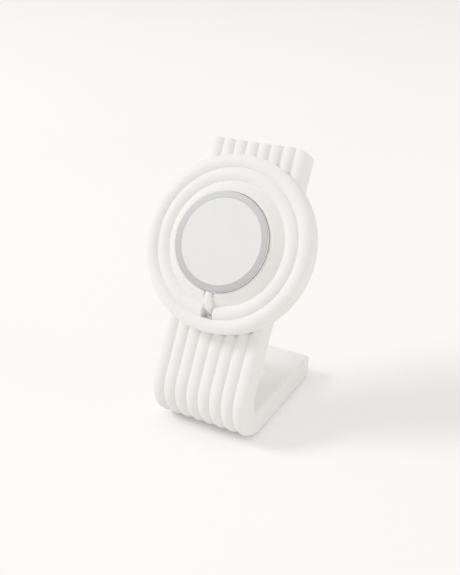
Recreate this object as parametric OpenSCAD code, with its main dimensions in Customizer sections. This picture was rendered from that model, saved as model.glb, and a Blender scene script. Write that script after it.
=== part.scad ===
// Wireless charging stand: a thick reeded band bent into a column and a foot, with a beaded
// disc on its front that holds a round magnetic charger on a lead.
// +X is the object's right as seen from the front, +Y is to the rear, +Z is up. The origin is on
// the resting plane, under the middle of the stand.

/* [Band] */
// Width of the bent band
band_w = 60; // [45:0.5:80]
// Thickness of the band, from the reeds' crests to its plain back
band_t = 14.8; // [11:0.1:20]
// Number of reeds across the band
reed_count = 8; // [6:1:12]
// Depth of the valleys between reeds
reed_depth = 1.9; // [1:0.1:2.6]
// Radius of the crests round the front bend
bend_r = 22.5; // [20:0.5:32]
// Length of the straight column above the bend
column_len = 140; // [130:1:180]
// Length of the straight foot behind the bend
foot_len = 68.5; // [58:0.5:100]
// Lean of the column back from upright, in degrees
lean = 29.5; // [20:0.5:35]
// Radius of the rounded long edges of the plain side
edge_r = 2.5; // [1:0.1:4]
// Radius of the two corners at the top of the column
corner_r = 5.2; // [2:0.1:9]
// Radius of the two corners at the rear of the foot
foot_corner_r = 1; // [0.5:0.1:4]

/* [Disc] */
// Diameter of the beaded disc
disc_d = 100; // [92:1:120]
// Height of the disc's centre up the straight column
disc_up = 80; // [70:1:105]
// Thickness of the disc at the valleys between its beads
disc_t = 9.8; // [9:0.1:14]
// Width of each bead
bead_w = 7.5; // [6:0.1:8.5]
// Height of the beads over their valleys
bead_h = 1.9; // [1:0.1:2.6]
// Rise of the dish from the inner valley to its rim
dish_rise = 4.5; // [3.5:0.1:7]
// Width of the flat rim round the charger
rim_w = 1.7; // [1:0.1:2.5]

/* [Cord way] */
// Width of the slot where the lead leaves the charger
slot_neck = 6.2; // [5:0.1:7]
// Width of the slot at its outer end, and of the hole that the lead goes back through
slot_w = 7.4; // [6.8:0.1:9]
// Thickness of disc left behind the slot
slot_floor = 3; // [2:0.1:4]
// Distance from the disc's centre to the hole
hole_at = 40.5; // [40.2:0.1:40.8]
// Distance from the hole's middle to the slot's outer end
slot_past = 2; // [1.5:0.1:2.5]
// Thickness of disc left in front of the hole beyond the slot's end
hole_roof = 1.8; // [1.2:0.1:2]

/* [Charger] */
// Diameter of the charger
puck_d = 55.9; // [54:0.1:57]
// Thickness of the charger
puck_t = 5.6; // [5.5:0.1:6.5]
// How far the charger stands proud of the disc's rim
puck_proud = 1.75; // [1:0.05:2.5]
// Diameter of the charger's pale face
face_d = 48.3; // [46:0.1:49.5]
// Depth of the face behind its ring
face_sink = 0.12; // [0.05:0.01:0.25]
// Thickness of the charger's front ring
ring_t = 0.7; // [0.6:0.05:0.75]
// Thickness of the charger's side wall
wall_t = 0.9; // [0.7:0.05:1.2]
// Gap between the charger and the wall of its recess
puck_gap = 0.2; // [0.15:0.05:0.5]
// Number of places for magnets round the charger
magnet_count = 18; // [12:1:24]

/* [Fixings] */
// Diameter of the fixing screws
screw_d = 3; // [2.5:0.1:3.5]
// Diameter of the screw heads
head_d = 5.5; // [5:0.1:6.5]
// Height of the screw heads
head_h = 3; // [2:0.1:3.5]
// Spacing of the screws up the column
screw_span = 44; // [36:1:50]
// Length of the threaded inserts
insert_len = 5.5; // [4:0.1:6.5]
// Diameter of the threaded inserts
insert_d = 4.6; // [4.4:0.1:5.2]
// Diameter of the rubber feet
foot_d = 11.6; // [8:0.1:14]
// How far the rubber feet stand out below the reeds
foot_proud = 0.3; // [0.2:0.05:0.6]

/* [Lead] */
// Diameter of the lead
cord_d = 3.9; // [3.3:0.1:3.9]
// Diameter of the neck where the lead leaves the charger
relief_d = 3.3; // [3:0.1:3.3]
// Mean diameter of the stored coil
coil_d = 41.4; // [41:0.1:41.6]
// Width of the plug's grip
grip_w = 11.2; // [9:0.1:13]
// Thickness of the plug's grip
grip_t = 6.2; // [5:0.1:7]
// Length of the plug's grip
grip_len = 20; // [16:0.5:24]

/* [Hidden] */
$fn = 64;

// Clearances between pieces that fit together
fit_gap = 0.05;
insert_gap = 0.05;
insert_past = 0.3;
foot_gap = 0.2;
head_gap = 0.35;
shank_gap = 0.2;
// Length by which a cut runs past the face it opens
over = 1;

// Band
pitch = band_w / reed_count;
// Radius of the arc whose chord is one reed wide and whose height is the reed's depth
function arc_r(width, rise) = (pow(width / 2, 2) + pow(rise, 2)) / (2 * rise);
reed_r = arc_r(pitch, reed_depth);
// The bend is this much slimmer than the column, and the column runs this far down into it
bend_inset = 0.02;
bend_lap = 0.1;
// Middle of the stand from front to rear
mid_y = (foot_len - bend_r) / 2;

// Disc
bead_r = arc_r(bead_w, bead_h);
inner_valley_r = disc_d / 2 - 2 * bead_w;
recess_r = puck_d / 2 + puck_gap;
rim_t = disc_t + dish_rise;
face_up = rim_t + puck_proud;
recess_floor = face_up - puck_t;

// Charger, with depths measured behind its front
puck_r = puck_d / 2;
inside_r = puck_r - wall_t;
face_step_t = 0.4;
face_back = ring_t + face_step_t;
wire_d = 1.2;
wire_step = 1.15;
winding_in = 9.6;
ferrite_t = 0.6;
board_t = 0.8;
board_front = face_back + wire_d + ferrite_t;
board_back = board_front + board_t;
back_t = 0.8;
magnet_t = 3.2;
magnet_w = 3.3;
magnet_gap = 0.2;
magnet_gap_deg = 1.2;
magnet_in = inside_r - magnet_gap - magnet_w;
ferrite_margin = 0.75;
ferrite_d = 2 * (magnet_in - ferrite_margin);
board_margin = 2.8;
board_d = ferrite_d - 2 * board_margin;
winding_margin = 1.3;
winding_turns = floor((ferrite_d / 2 - winding_margin - winding_in) / wire_step) + 1;
// Unit that the parts on the board are laid out in
cell = board_d / 40;
port_depth = 2.1;
collar_out = 0.4;
collar_in = 2.6;
end_gap = 0.2;
anchor = [5.4, 1.4, 3.3];
anchor_back = 0.3;
anchor_depth = face_back + end_gap;
core_d = 0.7;
core_len = 9;
edge_break = 0.35;

// Fixings
screw_x = 2.5 * pitch;
seat_depth = 7;
foot_seat = 0.4;
foot_t = reed_depth + foot_seat + foot_proud;
foot_from_bend = 8;
foot_from_end = 10;
key_d = 2.5;
screw_short = 0.5;

// Lead. The route runs from the collar through the slot, the disc and the column, down behind
// the column, over the foot and its rear edge, and along the surface to the coil.
route = [
    [0, -29.3, 85.69], [0, -29.96, 84.53], [0, -30.4, 83.4], [0, -30.7, 82], [0, -30.7, 79.7],
    [0, -30.4, 78.3], [0, -29.9, 77], [0, -29, 75.5], [0, -28, 73.8], [0, -26.6, 72.2],
    [0, -25.1, 70.5], [0, -23.2, 68.8], [0, -20.9, 66.9], [0, -18.2, 64.9], [0, -14.3, 62.6],
    [0, -10.5, 60.5], [-0.5, -5.9, 57.3], [-1.7, -1.4, 52.9], [-3.2, 2.3, 46.9], [-4.6, 5.6, 40.4],
    [-6, 9.1, 34], [-7.8, 13.3, 28.3], [-9.8, 18.6, 23.3], [-11.8, 24.8, 19.3],
    [-13.7, 31.3, 17.6], [-15.6, 37.8, 17.2], [-17.6, 44.3, 17.2], [-19.2, 48.4, 16.6],
    [-20.7, 52.2, 14.5], [-22.2, 55.9, 10.6], [-23.6, 59.4, 6.6], [-25, 63.2, 3.9],
    [-26.3, 67.2, 2.7], [-27, 70.2, 2.55]];
tail_route = [
    [-55, 106, 10.25], [-60.1, 104.6, 10.25], [-64.3, 101.3, 10.6], [-66.9, 97, 11.2],
    [-67.7, 93.6, 11.6], [-67.7, 91.2, 11.6]];
tube_sides = 8;
// Rise of the route above which it counts as upright
near_upright = 0.98;
coil_at = [-52.8, 81.5];
coil_lift = 0.6;
coil_rows = 3;
coil_layers = 2;
coil_top = coil_lift + coil_layers * cord_d;
tie_t = 0.5;
tie_w = 5;
tie_slack = 0.3;

// Plug
plug_at = tail_route[len(tail_route) - 1];
plug_turn = 270;
sleeve_len = 8;
sleeve_wall = 0.2;
sleeve_d = 4.9;
shell_w = 8.3;
shell_h = 2.5;
shell_len = 6.6;
shell_wall = 0.3;
tongue = [6.6, 0.7, 5.4];
contact_count = 12;
contact_pitch = 0.5;
contact = [0.25, 0.08, 3.4];

// Frames

// Whole stand, moved so that the feet rest on the plane and the origin is under its middle
module placed() { translate([0, -mid_y, foot_proud]) children(); }

// Frame at the foot of the straight column: +Y runs through its thickness, +Z runs up it
module on_column() {
    translate([0, 0, bend_r]) rotate([-lean, 0, 0]) translate([0, -bend_r, 0]) children();
}

// Frame at the disc's centre on the reeds' crests: +Y runs up the column, +Z out of its front
module on_disc() { placed() on_column() translate([0, 0, disc_up]) rotate([90, 0, 0]) children(); }

// Frame at the centre of the charger's front
module on_charger() { on_disc() translate([0, 0, face_up]) children(); }

// Places of the four fixing screws in the disc's frame
module at_screws() {
    for (side = [-1, 1], end = [-1, 1]) translate([side * screw_x, end * screw_span / 2, 0]) children();
}

// Places of the four rubber feet under the band
module at_feet() {
    for (side = [-1, 1], y = [foot_from_bend, foot_len - foot_from_end])
        translate([side * screw_x, y, -foot_proud]) children();
}

// Ring of rectangular section between two radii, from height low to height high
module band_ring(r_in, r_out, low, high) {
    rotate_extrude() translate([r_in, low]) square([r_out - r_in, high - low]);
}

// Stand

// Section of the band: the reeds' crests are on y = 0 and the plain side is on y = band_t
// An inset makes it slimmer by that much all round.
module band_section(inset = 0) {
    half = band_w / 2 - inset;
    far = band_t - inset;
    intersection() {
        union() {
            for (i = [0 : reed_count - 1])
                translate([(i + 0.5) * pitch - band_w / 2, reed_r]) circle(r = reed_r - inset);
            translate([-half, reed_r]) square([2 * half, far - reed_r]);
        }
        union() {
            translate([-half, 0]) square([2 * half, band_t - edge_r]);
            translate([edge_r - band_w / 2, 0]) square([band_w - 2 * edge_r, far]);
            for (side = [-1, 1])
                translate([side * (band_w / 2 - edge_r), band_t - edge_r]) circle(r = edge_r - inset);
        }
    }
}

// Straight run of band along +Z with its far corners rounded to radius r
module straight_band(run, r) {
    difference() {
        linear_extrude(height = run) band_section();
        for (side = [-1, 1]) translate([side * (band_w / 2 - r), band_t + over, run - r])
            rotate([90, 0, 0]) difference() {
                translate([side > 0 ? 0 : -r - over, 0, 0]) cube([r + over, r + over, band_t + 2 * over]);
                translate([0, 0, -over]) cylinder(r = r, h = band_t + 4 * over);
            }
    }
}

module band_blank() {
    on_column() translate([0, 0, -bend_lap]) straight_band(column_len + bend_lap, corner_r);
    translate([0, 0, bend_r]) rotate([0, 90, 180])
        rotate_extrude(angle = 90 + lean) translate([bend_r, 0]) rotate(90) band_section(bend_inset);
    rotate([90, 0, 0]) mirror([0, 0, 1]) straight_band(foot_len, foot_corner_r);
}

module stand_band() {
    color([0.94, 0.93, 0.91]) difference() {
        placed() band_blank();
        on_disc() {
            translate([0, -hole_at, -band_t - over]) cylinder(d = slot_w, h = band_t + 2 * over);
            at_screws() {
                translate([0, 0, -band_t - over])
                    cylinder(d = head_d + 2 * head_gap, h = band_t + over - seat_depth);
                translate([0, 0, -band_t]) cylinder(d = screw_d + 2 * shank_gap, h = band_t + over);
            }
        }
        placed() at_feet() translate([0, 0, -over])
            cylinder(d = foot_d + 2 * foot_gap, h = foot_t + over);
    }
}

// Half section of the disc, with the radius along x and the height along y
module disc_section() {
    difference() {
        union() {
            square([disc_d / 2, disc_t]);
            intersection() {
                for (i = [0.5, 1.5])
                    translate([disc_d / 2 - i * bead_w, disc_t + bead_h - bead_r]) circle(r = bead_r);
                square([disc_d / 2, disc_t + bead_h]);
            }
            polygon([[0, 0], [inner_valley_r, 0], [inner_valley_r, disc_t],
                     [recess_r + rim_w, rim_t], [0, rim_t]]);
        }
        translate([-over, recess_floor]) square([recess_r + over, rim_t]);
    }
}

// Open slot from the recess down to the hole, a little wider at its outer end
module lead_slot() {
    near = recess_r - over;
    far = hole_at + slot_past;
    translate([0, 0, slot_floor]) linear_extrude(height = rim_t)
        polygon([[-slot_neck / 2, -near], [-slot_w / 2, -far], [slot_w / 2, -far], [slot_neck / 2, -near]]);
}

module charger_disc() {
    color([0.94, 0.93, 0.91]) on_disc() difference() {
        rotate_extrude() disc_section();
        lead_slot();
        translate([0, -hole_at, -over]) cylinder(d = slot_w, h = disc_t - hole_roof + over);
        at_screws() translate([0, 0, -over])
            cylinder(d = insert_d + 2 * insert_gap, h = insert_len + insert_past + over);
    }
}

module thread_inserts() {
    color("goldenrod") on_disc() at_screws()
        band_ring(screw_d / 2 + insert_gap, insert_d / 2, 0, insert_len);
}

module fixing_screws() {
    color("dimgray") on_disc() at_screws() difference() {
        union() {
            translate([0, 0, -seat_depth - head_h]) cylinder(d = head_d, h = head_h);
            translate([0, 0, -seat_depth]) cylinder(d = screw_d, h = seat_depth + insert_len - screw_short);
        }
        translate([0, 0, -seat_depth - head_h - over])
            cylinder(d = key_d, h = head_h / 2 + over, $fn = 6);
    }
}

module rubber_feet() {
    color([0.25, 0.25, 0.25]) placed() at_feet() cylinder(d = foot_d, h = foot_t);
}

// Charger

// Round port in the charger's side for the collar
module port(gap) {
    translate([0, -inside_r + collar_in + end_gap, -port_depth]) rotate([90, 0, 0])
        cylinder(d = relief_d + 2 * gap, h = collar_in + end_gap + wall_t + over);
}

module charger_housing() {
    color([0.72, 0.72, 0.73]) on_charger() difference() {
        rotate_extrude() difference() {
            union() {
                translate([0, -puck_t]) square([puck_r, puck_t - edge_break]);
                translate([0, -puck_t]) square([puck_r - edge_break, puck_t]);
                translate([puck_r - edge_break, -edge_break]) circle(r = edge_break);
            }
            translate([-over, -puck_t - over]) square([inside_r + over, puck_t + over - ring_t]);
            translate([-over, -ring_t - over]) square([face_d / 2 + over, ring_t + 2 * over]);
        }
        port(fit_gap);
    }
}

module charger_back() {
    color([0.72, 0.72, 0.73]) on_charger()
        translate([0, 0, -puck_t]) cylinder(r = inside_r - fit_gap, h = back_t);
}

module charger_face() {
    color([0.92, 0.92, 0.92]) on_charger() difference() {
        rotate_extrude() {
            translate([0, -face_back]) square([face_d / 2 - fit_gap, face_back - face_sink]);
            translate([0, -face_back]) square([inside_r - fit_gap, face_step_t]);
        }
        port(fit_gap);
    }
}

module ring_magnets() {
    step = 360 / magnet_count;
    color("silver") on_charger() for (i = [1 : magnet_count - 1])
        rotate(i * step - 90 - step / 2 + magnet_gap_deg / 2)
            rotate_extrude(angle = step - magnet_gap_deg)
                translate([magnet_in, -face_back - magnet_t]) square([magnet_w, magnet_t]);
}

module charging_coil() {
    color("peru") on_charger() rotate_extrude() for (i = [0 : winding_turns - 1])
        translate([winding_in + i * wire_step, -face_back - wire_d / 2]) circle(d = wire_d);
}

module ferrite_sheet() {
    color([0.2, 0.2, 0.22]) on_charger()
        translate([0, 0, -board_front]) cylinder(d = ferrite_d, h = ferrite_t);
}

module circuit_board() {
    color([0.1, 0.35, 0.2]) on_charger() translate([0, 0, -board_back]) cylinder(d = board_d, h = board_t);
}

// One component on the back of the board, placed and sized in cells
module chip(at, size) {
    translate([0, 0, -board_back]) scale(cell)
        translate([at[0] - size[0] / 2, at[1] - size[1] / 2, -size[2]]) cube(size);
}

module board_parts() {
    color([0.12, 0.12, 0.12]) on_charger() {
        chip([0, 5], [6, 6, 0.9]);
        chip([-9, 6], [4, 4, 0.8]);
        chip([9, 4], [5, 3, 1]);
        for (x = [-10 : 4 : 10]) chip([x, -4], [2, 1.2, 0.7]);
        for (x = [-8 : 4 : 8]) chip([x, 13], [1.2, 2, 0.7]);
    }
}

module lead_cores() {
    color("firebrick") on_charger() for (side = [-1, 1])
        translate([side * core_d, core_len + anchor_back + anchor[1] - inside_r, -board_back - core_d / 2])
            rotate([90, 0, 0]) cylinder(d = core_d, h = core_len);
}

module lead_collar() {
    color([0.86, 0.86, 0.86]) on_charger() {
        translate([0, -inside_r + collar_in, -port_depth]) rotate([90, 0, 0])
            cylinder(d = relief_d, h = collar_in + wall_t + collar_out);
        translate([-anchor[0] / 2, anchor_back - inside_r, -anchor_depth - anchor[2]]) cube(anchor);
    }
}

// Lead

function unit(v) = v / norm(v);
// Direction of the route at point i
function heading(path, i) =
    unit(path[min(i + 1, len(path) - 1)] - path[max(i - 1, 0)]);
// Side direction at point i, level with the ground
function sideways(path, i) =
    unit(cross(heading(path, i), abs(heading(path, i)[2]) > near_upright ? [1, 0, 0] : [0, 0, 1]));
function ring_point(path, i, k, sides, r) =
    let (t = heading(path, i), s = sideways(path, i), u = cross(s, t), a = 360 * (k + 0.5) / sides)
    path[i] + r * (cos(a) * s + sin(a) * u);

// Closed tube of flat sides whose rings stand on the route's points
module tube(path, d, sides) {
    last = len(path) - 1;
    points = [for (i = [0 : last], k = [0 : sides - 1]) ring_point(path, i, k, sides, d / 2)];
    walls = [for (i = [0 : last - 1], k = [0 : sides - 1], half = [0, 1])
        let (a = i * sides + k, b = i * sides + (k + 1) % sides)
        half == 0 ? [a, a + sides, b + sides] : [a, b + sides, b]];
    near = [for (k = [0 : sides - 1]) k];
    far = [for (k = [sides - 1 : -1 : 0]) last * sides + k];
    polyhedron(points = points, faces = concat(walls, [near], [far]), convexity = 4);
}

module cord_lead() { color([0.91, 0.91, 0.9]) tube(route, cord_d, tube_sides); }

module cord_tail() { color([0.91, 0.91, 0.9]) tube(tail_route, cord_d, tube_sides); }

module cord_coil() {
    width = coil_rows * cord_d;
    color([0.91, 0.91, 0.9]) translate([coil_at[0], coil_at[1], 0])
        band_ring((coil_d - width) / 2, (coil_d + width) / 2, coil_lift, coil_top);
}

module cord_tie() {
    inner = [tie_w + 2 * over, coil_rows * cord_d + 2 * tie_slack, coil_layers * cord_d + 2 * fit_gap];
    outer = [tie_w, inner[1] + 2 * tie_t, inner[2] + 2 * tie_t];
    color([0.85, 0.85, 0.85]) translate([coil_at[0], coil_at[1] - coil_d / 2, (coil_lift + coil_top) / 2])
        difference() {
            cube(outer, center = true);
            cube(inner, center = true);
        }
}

// Plug

// Frame at the plug's cord end: +Z runs along the plug
module on_plug() { translate(plug_at) rotate([90, 0, plug_turn + 90]) children(); }

// Section with round ends, as wide as w and as high as h
module slot_shape(w, h) {
    square([w - h, h], center = true);
    for (side = [-1, 1]) translate([side * (w - h) / 2, 0]) circle(d = h);
}

module plug_grip() {
    color([0.92, 0.92, 0.91]) on_plug() {
        cylinder(d1 = cord_d + 2 * sleeve_wall, d2 = sleeve_d, h = sleeve_len);
        translate([0, 0, sleeve_len]) difference() {
            linear_extrude(height = grip_len) slot_shape(grip_w, grip_t);
            translate([0, 0, grip_len - over]) linear_extrude(height = 2 * over) slot_shape(shell_w, shell_h);
        }
    }
}

module plug_shell() {
    color("silver") on_plug() translate([0, 0, sleeve_len + grip_len - over]) difference() {
        linear_extrude(height = shell_len + over) slot_shape(shell_w, shell_h);
        translate([0, 0, over]) linear_extrude(height = shell_len + over)
            slot_shape(shell_w - 2 * shell_wall, shell_h - 2 * shell_wall);
    }
}

module plug_tongue() {
    color([0.15, 0.15, 0.15]) on_plug() translate([0, 0, sleeve_len + grip_len + tongue[2] / 2])
        cube(tongue, center = true);
}

module plug_contacts() {
    color("gold") on_plug() for (side = [-1, 1], i = [0 : contact_count - 1])
        translate([(i - (contact_count - 1) / 2) * contact_pitch,
                   side * (tongue[1] + contact[1]) / 2, sleeve_len + grip_len + tongue[2] / 2])
            cube(contact, center = true);
}

stand_band();
charger_disc();
thread_inserts();
fixing_screws();
rubber_feet();
charger_housing();
charger_back();
charger_face();
ring_magnets();
charging_coil();
ferrite_sheet();
circuit_board();
board_parts();
lead_cores();
lead_collar();
cord_lead();
cord_coil();
cord_tail();
cord_tie();
plug_grip();
plug_shell();
plug_tongue();
plug_contacts();
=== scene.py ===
import math

import bpy
from mathutils import Matrix, Vector


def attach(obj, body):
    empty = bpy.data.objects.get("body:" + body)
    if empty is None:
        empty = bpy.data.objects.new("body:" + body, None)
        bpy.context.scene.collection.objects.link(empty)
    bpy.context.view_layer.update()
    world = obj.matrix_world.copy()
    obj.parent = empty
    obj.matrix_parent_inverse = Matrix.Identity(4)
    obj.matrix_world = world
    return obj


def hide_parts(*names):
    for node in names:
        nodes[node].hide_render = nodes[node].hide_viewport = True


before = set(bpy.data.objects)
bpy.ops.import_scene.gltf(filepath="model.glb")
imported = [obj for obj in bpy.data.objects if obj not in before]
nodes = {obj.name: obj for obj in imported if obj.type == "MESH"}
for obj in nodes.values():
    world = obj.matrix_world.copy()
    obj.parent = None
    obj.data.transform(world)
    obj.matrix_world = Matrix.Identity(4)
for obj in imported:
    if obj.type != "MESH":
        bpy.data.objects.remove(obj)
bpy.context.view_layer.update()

# Points and sizes are in mm unless a comment says otherwise, and MM turns them into metres
MM = 0.001

# The camera that took the photo, fitted to the charger's known diameter: degrees, mm, pixels
AZIMUTH = 29.062
ELEVATION = 25.795
ROLL = 0.175
TARGET = (9.421, -23.03, 88.28)
DISTANCE = 400.568
FOCAL_PX = 739.553
PHOTO_WIDTH_PX = 460
SENSOR_WIDTH = 36

# The disc's own frame: its centre on the reeds' crests, its way up and its way out
DISC_CENTER = (0, -3.19, 103.508)
UP = (0, 0.492424, 0.870356)
FRONT = (0, -0.870356, 0.492424)

# The lead. Its points are those of part.scad, from the charger down to the surface
CORD_D = 3.9
LEAD = [
    (0, -29.3, 85.69), (0, -29.96, 84.53), (0, -30.4, 83.4), (0, -30.7, 82), (0, -30.7, 79.7),
    (0, -30.4, 78.3), (0, -29.9, 77), (0, -29, 75.5), (0, -28, 73.8), (0, -26.6, 72.2),
    (0, -25.1, 70.5), (0, -23.2, 68.8), (0, -20.9, 66.9), (0, -18.2, 64.9), (0, -14.3, 62.6),
    (0, -10.5, 60.5), (-0.5, -5.9, 57.3), (-1.7, -1.4, 52.9), (-3.2, 2.3, 46.9),
    (-4.6, 5.6, 40.4), (-6, 9.1, 34), (-7.8, 13.3, 28.3), (-9.8, 18.6, 23.3),
    (-11.8, 24.8, 19.3), (-13.7, 31.3, 17.6), (-15.6, 37.8, 17.2), (-17.6, 44.3, 17.2),
    (-19.2, 48.4, 16.6), (-20.7, 52.2, 14.5), (-22.2, 55.9, 10.6), (-23.6, 59.4, 6.6),
    (-25, 63.2, 3.9), (-26.3, 67.2, 2.7), (-27, 70.2, 2.55)]
# From the coil's top down into the plug
TAIL = [
    (-55, 106, 10.25), (-60.1, 104.6, 10.25), (-64.3, 101.3, 10.6), (-66.9, 97, 11.2),
    (-67.7, 93.6, 11.6), (-67.7, 91.2, 11.6)]
STEPS_PER_POINT = 4

# The coil: its middle, its rows from the outermost to the innermost, and its layers' heights.
# The tie holds the three outer rows, which touch, and the innermost one runs beside it
COIL_AT = (-52.8, 81.5)
COIL_R = 20.7
INNERMOST_R = 12.0
COIL_ROWS = (COIL_R + CORD_D, COIL_R, COIL_R - CORD_D, INNERMOST_R)
LOW = 2.57
HIGH = LOW + CORD_D
TOP = 10.35
BEFORE_COIL = (-27.85, 75.5, LOW)

# Degrees: where in a turn the strands change row or layer, how long that takes, and the coil's end
STEP_IN_AT = 285
RISE_AT = 210
STEP_OUT_AT = 135
CLIMB_AT = 15
CHANGE_ANGLE = 75.0
COIL_END = 7 * 360 + 90
POINT_ANGLE = 15

# The floor's half width and where the lamps look, in metres
FLOOR_HALF = 4.0
LOOK_AT = (0, 0, 0.07)

# Light from all around, and round lamps: place and size in metres, watts and colour
WORLD_COLOR = (1.0, 0.985, 0.955)
WORLD_STRENGTH = 0.735
LAMPS = (
    ("key", (-3.4, -1.9, 3.4), 1.8, 73.0, (0.99, 0.995, 1.0)),
    ("right", (3.3, 0.2, 0.7), 2.0, 9.0, (1.0, 0.99, 0.96)))

# Tiny lamps deep in the slot: place in the disc's frame, size and level
GLOWS = (
    ("glow_left", (-2.6, -33.5, 3.3), (1.0, 7.0), 5.2),
    ("glow_right", (2.6, -33.5, 3.3), (1.0, 7.0), 2.6),
    ("glow_hole", (0, -39, -4), (4.0, 4.0), 7.0))
GLOW_COLOR = (1.0, 0.985, 0.95)


def add_object(name, data):
    obj = bpy.data.objects.new(name, data)
    bpy.context.scene.collection.objects.link(obj)
    return obj


# Camera
def place_camera():
    azimuth, elevation, roll = map(math.radians, (AZIMUTH, ELEVATION, ROLL))
    back = Vector((
        math.sin(azimuth) * math.cos(elevation),
        -math.cos(azimuth) * math.cos(elevation),
        math.sin(elevation)))
    level = (-back).cross(Vector((0, 0, 1))).normalized()
    upright = level.cross(-back)
    right = math.cos(roll) * level + math.sin(roll) * upright
    up = -math.sin(roll) * level + math.cos(roll) * upright

    data = bpy.data.cameras.new("camera")
    data.sensor_fit = "HORIZONTAL"
    data.sensor_width = SENSOR_WIDTH
    data.lens = FOCAL_PX * SENSOR_WIDTH / PHOTO_WIDTH_PX
    data.clip_start = 0.01
    data.clip_end = 20
    camera = add_object("camera", data)
    pose = Matrix((right, up, back)).transposed().to_4x4()
    pose.translation = (Vector(TARGET) + DISTANCE * back) * MM
    camera.matrix_world = pose
    bpy.context.scene.camera = camera


# Materials
class Shade:
    """A small builder of node materials on a Principled shader."""

    # The part of a noise's values that most of it lies in
    noise_range = (0.3, 0.7)

    def __init__(self, name, color, roughness, metallic=0.0, specular=0.5):
        self.mat = bpy.data.materials.new(name)
        self.mat.use_nodes = True
        self.tree = self.mat.node_tree
        self.shader = self.tree.nodes["Principled BSDF"]
        self.shader.inputs["Base Color"].default_value = (*color, 1)
        self.shader.inputs["Roughness"].default_value = roughness
        self.shader.inputs["Metallic"].default_value = metallic
        self.shader.inputs["Specular IOR Level"].default_value = specular
        self.coords = self.add("ShaderNodeTexCoord").outputs["Object"]
        self.normal = None

    def add(self, kind, **values):
        node = self.tree.nodes.new(kind)
        for key, value in values.items():
            setattr(node, key, value)
        return node

    def link(self, a, b):
        self.tree.links.new(a, b)

    def noise(self, scale, detail=2.0, rough=0.5):
        node = self.add("ShaderNodeTexNoise")
        node.inputs["Scale"].default_value = scale
        node.inputs["Detail"].default_value = detail
        node.inputs["Roughness"].default_value = rough
        self.link(self.coords, node.inputs["Vector"])
        return node.outputs["Fac"]

    def tint(self, fac, low, high):
        """Base colour from low to high."""
        ramp = self.add("ShaderNodeValToRGB")
        for stop, position, color in zip(ramp.color_ramp.elements, self.noise_range, (low, high)):
            stop.position = position
            stop.color = (*color, 1)
        self.link(fac, ramp.inputs["Fac"])
        self.link(ramp.outputs["Color"], self.shader.inputs["Base Color"])

    def roughen(self, fac, low, high):
        """Roughness from low to high."""
        spread = self.add("ShaderNodeMapRange")
        spread.inputs["From Min"].default_value = self.noise_range[0]
        spread.inputs["From Max"].default_value = self.noise_range[1]
        spread.inputs["To Min"].default_value = low
        spread.inputs["To Max"].default_value = high
        self.link(fac, spread.inputs["Value"])
        self.link(spread.outputs["Result"], self.shader.inputs["Roughness"])

    def bump(self, fac, strength, distance):
        """Relief in metres, on top of the relief made before."""
        bump = self.add("ShaderNodeBump")
        bump.inputs["Strength"].default_value = strength
        bump.inputs["Distance"].default_value = distance
        self.link(fac, bump.inputs["Height"])
        if self.normal is not None:
            self.link(self.normal, bump.inputs["Normal"])
        self.normal = bump.outputs["Normal"]
        self.link(self.normal, self.shader.inputs["Normal"])


def near(color, by):
    """The colour made darker or paler by a factor."""
    return tuple(max(0.0, min(1.0, c * by)) for c in color)


def paint():
    """Smooth matt white coat with a fine powder grain and a slight orange peel."""
    white = (0.93, 0.922, 0.911)
    s = Shade("stand_paint", white, 0.62, specular=0.35)
    s.tint(s.noise(45, detail=3), near(white, 0.985), near(white, 1.01))
    s.roughen(s.noise(260), 0.56, 0.68)
    s.bump(s.noise(2600, rough=0.6), 0.10, 0.00006)
    s.bump(s.noise(420, detail=1), 0.05, 0.00010)
    return s.mat


def shell():
    """Satin aluminium whose colour follows its facing: painted light makes the turned side wall paler,
    and painted shade makes the front ring darker.
    """
    painted_shade_front, side = (0.56, 0.56, 0.565), (0.93, 0.925, 0.915)
    s = Shade("charger_aluminium", painted_shade_front, 0.45, metallic=1.0)
    # Colour by facing: the front ring gets a painted shade colour and the side wall a paler painted light
    # colour
    facing = s.add("ShaderNodeVectorMath", operation="DOT_PRODUCT")
    s.link(s.add("ShaderNodeNewGeometry").outputs["True Normal"], facing.inputs[0])
    facing.inputs[1].default_value = FRONT
    s.tint(facing.outputs["Value"], side, painted_shade_front)
    s.roughen(s.noise(1400, detail=3, rough=0.6), 0.42, 0.54)
    s.bump(s.noise(2200, rough=0.6), 0.06, 0.00004)
    return s.mat


def metal(name, color, low, high):
    """Fine-grained metal of a roughness between low and high."""
    s = Shade(name, color, (low + high) / 2, metallic=1.0)
    s.tint(s.noise(120, detail=3), near(color, 0.94), near(color, 1.04))
    s.roughen(s.noise(900, detail=3, rough=0.6), low, high)
    s.bump(s.noise(1440, rough=0.6), 0.08, 0.00004)
    return s.mat


def plastic(name, color, low, high, scale=1500, grain=0.08, spread=0.02):
    """Moulded plastic or rubber of a roughness between low and high. Its grain gets finer with
    scale and deeper with grain, and its tone varies by spread."""
    s = Shade(name, color, (low + high) / 2, specular=0.45)
    s.tint(s.noise(90, detail=3), near(color, 1 - spread), near(color, 1 + spread))
    s.roughen(s.noise(scale / 3), low, high)
    s.bump(s.noise(scale, rough=0.6), grain, 0.00005)
    return s.mat


def dress(material, *names):
    for name in names:
        slots = nodes[name].data.materials
        slots.clear()
        slots.append(material)


def dress_stand():
    dress(paint(), "stand_band", "charger_disc")
    dress(metal("brass", (0.72, 0.55, 0.25), 0.28, 0.42), "thread_inserts")
    dress(metal("screw_steel", (0.30, 0.30, 0.31), 0.3, 0.45), "fixing_screws")
    feet = plastic("feet_rubber", (0.10, 0.10, 0.10), 0.75, 0.9, scale=1800, grain=0.2, spread=0.06)
    dress(feet, "rubber_feet")


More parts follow.
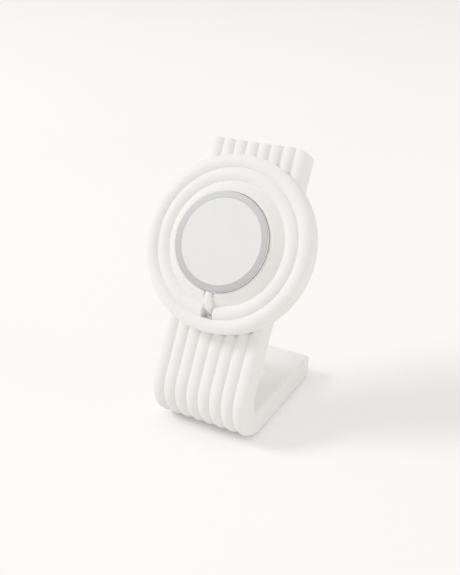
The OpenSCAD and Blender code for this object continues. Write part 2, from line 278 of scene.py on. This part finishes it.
def dress_charger():
    dress(shell(), "charger_housing", "charger_back")
    face = plastic("face_plastic", (0.85, 0.852, 0.862), 0.5, 0.6, scale=2200, grain=0.05, spread=0.008)
    dress(face, "charger_face")
    dress(metal("magnet_metal", (0.62, 0.62, 0.62), 0.2, 0.34), "ring_magnets")
    dress(metal("copper_wire", (0.65, 0.33, 0.18), 0.25, 0.4), "charging_coil")
    ferrite = plastic("ferrite", (0.09, 0.09, 0.10), 0.6, 0.8, scale=1800, grain=0.1, spread=0.05)
    dress(ferrite, "ferrite_sheet")
    board = plastic("board", (0.05, 0.22, 0.12), 0.3, 0.45, grain=0.05, spread=0.06)
    dress(board, "circuit_board")


def dress_lead():
    """Dress the lead with its plug, and return the lead's own material."""
    rubber = plastic("lead_rubber", (0.965, 0.964, 0.963), 0.5, 0.62, scale=1900, grain=0.06, spread=0.01)
    dress(rubber, "lead_collar", "cord_lead", "cord_coil", "cord_tail")
    dress(plastic("core_plastic", (0.5, 0.06, 0.05), 0.4, 0.55), "lead_cores")
    dress(plastic("tie_plastic", (0.78, 0.775, 0.765), 0.55, 0.7), "cord_tie")
    grip = plastic("grip_plastic", (0.82, 0.815, 0.805), 0.3, 0.4, grain=0.05, spread=0.01)
    dress(grip, "plug_grip")
    dress(metal("shell_steel", (0.62, 0.62, 0.62), 0.2, 0.32), "plug_shell")
    dress(metal("contact_gold", (0.8, 0.62, 0.25), 0.18, 0.3), "plug_contacts")
    chip = plastic("chip_plastic", (0.04, 0.04, 0.04), 0.45, 0.6, scale=1800, grain=0.1, spread=0.08)
    dress(chip, "plug_tongue", "board_parts")
    return rubber


# Lead
def change(part, start, a, b):
    """The value at an angle of part in a turn that goes smoothly from a to b, beginning at start."""
    t = max(0.0, min(1.0, (part - start) / CHANGE_ANGLE))
    return a + (b - a) * t * t * (3 - 2 * t)


def coil_points():
    """Four rows inward on the floor, the same rows outward on top of them, then up to the plug.
    Each kind of change comes earlier in its turn than the one before it, so that no two strands
    meet."""
    inner = len(COIL_ROWS) - 1
    last = 2 * inner + 1
    points = []
    for angle in range(0, COIL_END, POINT_ANGLE):
        turn, part = divmod(angle, 360)
        if turn < inner:
            r = change(part, STEP_IN_AT, COIL_ROWS[turn], COIL_ROWS[turn + 1])
            z = LOW
        elif turn == inner:
            r = COIL_ROWS[inner]
            z = change(part, RISE_AT, LOW, HIGH)
        elif turn < last:
            row = last - turn
            r = change(part, STEP_OUT_AT, COIL_ROWS[row], COIL_ROWS[row - 1])
            z = HIGH
        else:
            r = COIL_ROWS[0]
            z = change(part, CLIMB_AT, HIGH, TOP)
        a = math.radians(angle)
        points.append((COIL_AT[0] + r * math.cos(a), COIL_AT[1] + r * math.sin(a), z))
    return points


def smooth(points):
    """Points of a centripetal curve through the given points."""
    p = [Vector(q) for q in points]
    p = [2 * p[0] - p[1]] + p + [2 * p[-1] - p[-2]]
    out = []
    for i in range(1, len(p) - 2):
        a, b, c, d = p[i - 1:i + 3]
        t0 = 0.0
        t1 = t0 + (b - a).length ** 0.5
        t2 = t1 + (c - b).length ** 0.5
        t3 = t2 + (d - c).length ** 0.5
        for k in range(STEPS_PER_POINT):
            t = t1 + (t2 - t1) * k / STEPS_PER_POINT
            a1 = (t1 - t) / (t1 - t0) * a + (t - t0) / (t1 - t0) * b
            a2 = (t2 - t) / (t2 - t1) * b + (t - t1) / (t2 - t1) * c
            a3 = (t3 - t) / (t3 - t2) * c + (t - t2) / (t3 - t2) * d
            b1 = (t2 - t) / (t2 - t0) * a1 + (t - t0) / (t2 - t0) * a2
            b2 = (t3 - t) / (t3 - t1) * a2 + (t - t1) / (t3 - t1) * a3
            out.append((t2 - t) / (t2 - t1) * b1 + (t - t1) / (t2 - t1) * b2)
    out.append(p[-2])
    return out


def make_lead(material):
    line = smooth(LEAD + [BEFORE_COIL] + coil_points() + TAIL)
    curve = bpy.data.curves.new("lead", "CURVE")
    curve.dimensions = "3D"
    curve.bevel_depth = CORD_D / 2 * MM
    curve.bevel_resolution = 6
    curve.use_fill_caps = True
    spline = curve.splines.new("POLY")
    spline.points.add(len(line) - 1)
    for p, q in zip(spline.points, line):
        p.co = (*(q * MM), 1)
    spline.use_smooth = True
    curve.materials.append(material)
    obj = add_object("lead", curve)
    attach(obj, "root")
    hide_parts("cord_lead", "cord_coil", "cord_tail")


# Stage and light
def make_stage():
    """A plain pale floor. Only the camera sees its glow, so it lights nothing."""
    mesh = bpy.data.meshes.new("floor")
    corners = [(x * FLOOR_HALF, y * FLOOR_HALF, 0) for x, y in ((-1, -1), (1, -1), (1, 1), (-1, 1))]
    mesh.from_pydata(corners, [], [(0, 1, 2, 3)])
    floor = add_object("floor", mesh)
    s = Shade("floor", (0.93, 0.925, 0.915), 0.9, specular=0.1)
    s.tint(s.noise(3), (0.925, 0.92, 0.91), (0.935, 0.93, 0.92))
    s.shader.inputs["Emission Color"].default_value = (0.106, 0.108, 0.113, 1)
    s.link(s.add("ShaderNodeLightPath").outputs["Is Camera Ray"], s.shader.inputs["Emission Strength"])
    mesh.materials.append(s.mat)


def add_lamp(name, place, facing, shape, energy, color):
    """An area lamp in metres and watts that shines along facing."""
    data = bpy.data.lights.new(name, "AREA")
    data.shape = shape
    data.energy = energy
    data.color = color
    obj = add_object(name, data)
    obj.location = place
    obj.rotation_euler = facing.to_track_quat("-Z", "Y").to_euler()
    return obj


def add_glow(name, place, size, level):
    """A tiny lamp deep in the slot, facing out. It stands for light that bounces there many times,
    of which the renderer follows only the first few bounces."""
    x, up, out = place
    spot = (Vector(DISC_CENTER) + Vector((x, 0, 0)) + up * Vector(UP) + out * Vector(FRONT)) * MM
    width, height = (side * MM for side in size)
    energy = level * math.pi * width * height
    obj = add_lamp(name, spot, Vector(FRONT), "RECTANGLE", energy, GLOW_COLOR)
    obj.data.size = width
    obj.data.size_y = height
    obj.visible_camera = False


def make_light():
    world = bpy.data.worlds.new("world")
    bpy.context.scene.world = world
    world.use_nodes = True
    background = world.node_tree.nodes["Background"]
    background.inputs["Color"].default_value = (*WORLD_COLOR, 1)
    background.inputs["Strength"].default_value = WORLD_STRENGTH
    for name, place, size, energy, color in LAMPS:
        lamp = add_lamp(name, place, Vector(LOOK_AT) - Vector(place), "DISK", energy, color)
        lamp.data.size = size
    for glow in GLOWS:
        add_glow(*glow)


bpy.context.scene.view_settings.view_transform = "Standard"
place_camera()
dress_stand()
dress_charger()
rubber = dress_lead()
make_lead(rubber)
make_stage()
make_light()
